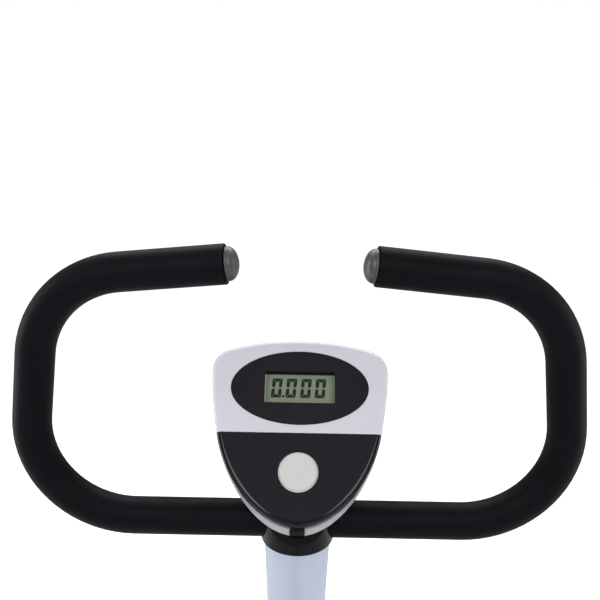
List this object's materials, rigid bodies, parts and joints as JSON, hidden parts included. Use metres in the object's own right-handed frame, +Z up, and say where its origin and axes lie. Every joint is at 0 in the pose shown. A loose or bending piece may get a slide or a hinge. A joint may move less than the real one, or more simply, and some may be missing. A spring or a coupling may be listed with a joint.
{
  "type": "upright exercise bike",
  "caption": "Upright magnetic exercise bike with a closed-loop foam-covered handlebar, shield-shaped console, tapering post and adjustable saddle.",
  "frame": {"origin": "on the floor, under the middle of the bike's bounding box", "axes": "+Z up, +Y the way the rider faces, +X the rider's right hand"},
  "size_m": [0.5074, 0.8913, 1.2088],
  "materials": {
    "white_paint": "gloss powder coat",
    "silver_paint": "satin metallic paint",
    "black_paint": "satin paint",
    "bright_steel": "bright zinc plate",
    "cast_iron": "machined rim",
    "black_plastic": "fine texture",
    "gloss_black_plastic": "gloss",
    "light_grey_plastic": "satin gloss",
    "white_plastic": "satin gloss",
    "display_glass": "liquid crystal panel",
    "circuit_board": "solder resist",
    "battery_can": "shrink sleeve",
    "foam_rubber": "closed-cell foam",
    "black_rubber": "matt",
    "strap_rubber": "matt",
    "black_cable": "satin jacket",
    "black_vinyl": "embossed vinyl over foam"
  },
  "bodies": {
    "frame": {"base_beam": "white_paint", "crank_column": "white_paint", "post_stub": "white_paint", "spine_tube": "white_paint", "seat_tube": "white_paint", "flywheel_cradle": "white_paint", "front_stabilizer": "white_paint", "rear_stabilizer": "white_paint", "front_cap_left": "black_plastic", "front_cap_right": "black_plastic", "rear_cap_left": "black_plastic", "rear_cap_right": "black_plastic", "seat_tube_bush": "black_plastic", "flywheel_axle": "bright_steel", "crank_bearing_cartridge": "bright_steel", "shroud_left": "white_plastic", "shroud_right": "white_plastic", "drive_belt": "black_rubber", "handlebar_post": "silver_paint", "clamp_strap": "bright_steel", "clamp_cover": "black_plastic", "tension_dial_base": "black_plastic", "brake_cable": "black_cable", "sensor_lead": "black_cable", "console_upper_cover": "light_grey_plastic", "console_lower_cover": "gloss_black_plastic", "console_rear_shell": "light_grey_plastic", "display_bezel": "black_plastic", "lcd_panel": "display_glass", "circuit_board": "circuit_board", "battery": "battery_can", "battery_door": "light_grey_plastic"},
    "crank": {"crank_axle": "bright_steel", "drive_pulley": "black_plastic", "crank_arm_left": "black_paint", "crank_arm_right": "black_paint", "pedal_spindle_left": "bright_steel", "pedal_spindle_right": "bright_steel"},
    "left_pedal": {"pedal_left": "black_plastic", "pedal_strap_left": "strap_rubber"},
    "right_pedal": {"pedal_right": "black_plastic", "pedal_strap_right": "strap_rubber"},
    "flywheel_body": {"flywheel": "cast_iron"},
    "brake": {"magnet_bracket": "bright_steel"},
    "dial": {"tension_dial": "black_plastic"},
    "handlebar": {"handlebar_tube": "bright_steel", "foam_grip_left": "foam_rubber", "foam_grip_right": "foam_rubber", "end_cap_left": "black_rubber", "end_cap_right": "black_rubber"},
    "clamp": {"clamp_knob": "black_plastic"},
    "button": {"reset_button": "light_grey_plastic"},
    "seat": {"seat_post": "bright_steel", "saddle_clamp": "black_paint", "saddle_pan": "black_plastic", "saddle_cushion": "black_vinyl"},
    "seat_pin": {"seat_pin_knob": "black_plastic"},
    "left_wheel": {"transport_wheel_left": "black_rubber"},
    "right_wheel": {"transport_wheel_right": "black_rubber"}
  },
  "joints": [
    {"name": "crank_spin", "type": "hinge", "parent": "frame", "child": "crank", "pos_m": [0, 0, 0.33], "axis": [-1, 0, 0], "continuous": true},
    {"name": "flywheel_spin", "type": "hinge", "parent": "frame", "child": "flywheel_body", "pos_m": [0, 0.22, 0.27], "axis": [-1, 0, 0], "continuous": true},
    {"name": "left_pedal_spin", "type": "hinge", "parent": "crank", "child": "left_pedal", "pos_m": [0, -0.1182, 0.42235], "axis": [1, 0, 0], "continuous": true},
    {"name": "right_pedal_spin", "type": "hinge", "parent": "crank", "child": "right_pedal", "pos_m": [0, 0.1182, 0.23765], "axis": [1, 0, 0], "continuous": true},
    {"name": "handlebar_tilt", "type": "hinge", "parent": "frame", "child": "handlebar", "pos_m": [0, 0.15, 0.95], "axis": [-1, 0, 0], "range_deg": [-20, 30]},
    {"name": "clamp_knob_turn", "type": "hinge", "parent": "frame", "child": "clamp", "pos_m": [0, 0.15557, 0.91039], "axis": [0, 0.9903, 0.1392], "range_deg": [0, 540]},
    {"name": "tension_dial_turn", "type": "hinge", "parent": "frame", "child": "dial", "pos_m": [0, 0.18271, 0.71729], "axis": [0, 0.9903, 0.1392], "range_deg": [0, 300]},
    {"name": "magnet_bracket_swing", "type": "hinge", "parent": "frame", "child": "brake", "pos_m": [0, 0.33, 0.388], "axis": [1, 0, 0], "range_deg": [0, 4.2]},
    {"name": "reset_button_press", "type": "slide", "parent": "frame", "child": "button", "axis": [0, 0.8151, -0.5793], "range_m": [0, 0.0018], "stiffness_N_per_m": 600, "springref_m": -0.001},
    {"name": "seat_height_slide", "type": "slide", "parent": "frame", "child": "seat", "axis": [0, -0.2419, 0.9703], "range_m": [-0.12, 0.09]},
    {"name": "seat_pin_pull", "type": "slide", "parent": "frame", "child": "seat_pin", "axis": [0, -0.9703, -0.2419], "range_m": [0, 0.01], "stiffness_N_per_m": 800, "springref_m": -0.008},
    {"name": "left_wheel_spin", "type": "hinge", "parent": "frame", "child": "left_wheel", "pos_m": [-0.2215, 0.4197, 0.032], "axis": [1, 0, 0], "continuous": true},
    {"name": "right_wheel_spin", "type": "hinge", "parent": "frame", "child": "right_wheel", "pos_m": [0.2215, 0.4197, 0.032], "axis": [1, 0, 0], "continuous": true}
  ],
  "couplings": [
    {"joint": "flywheel_spin", "follows": "crank_spin", "ratio": 7.0968},
    {"joint": "magnet_bracket_swing", "follows": "tension_dial_turn", "ratio": 0.014}
  ]
}
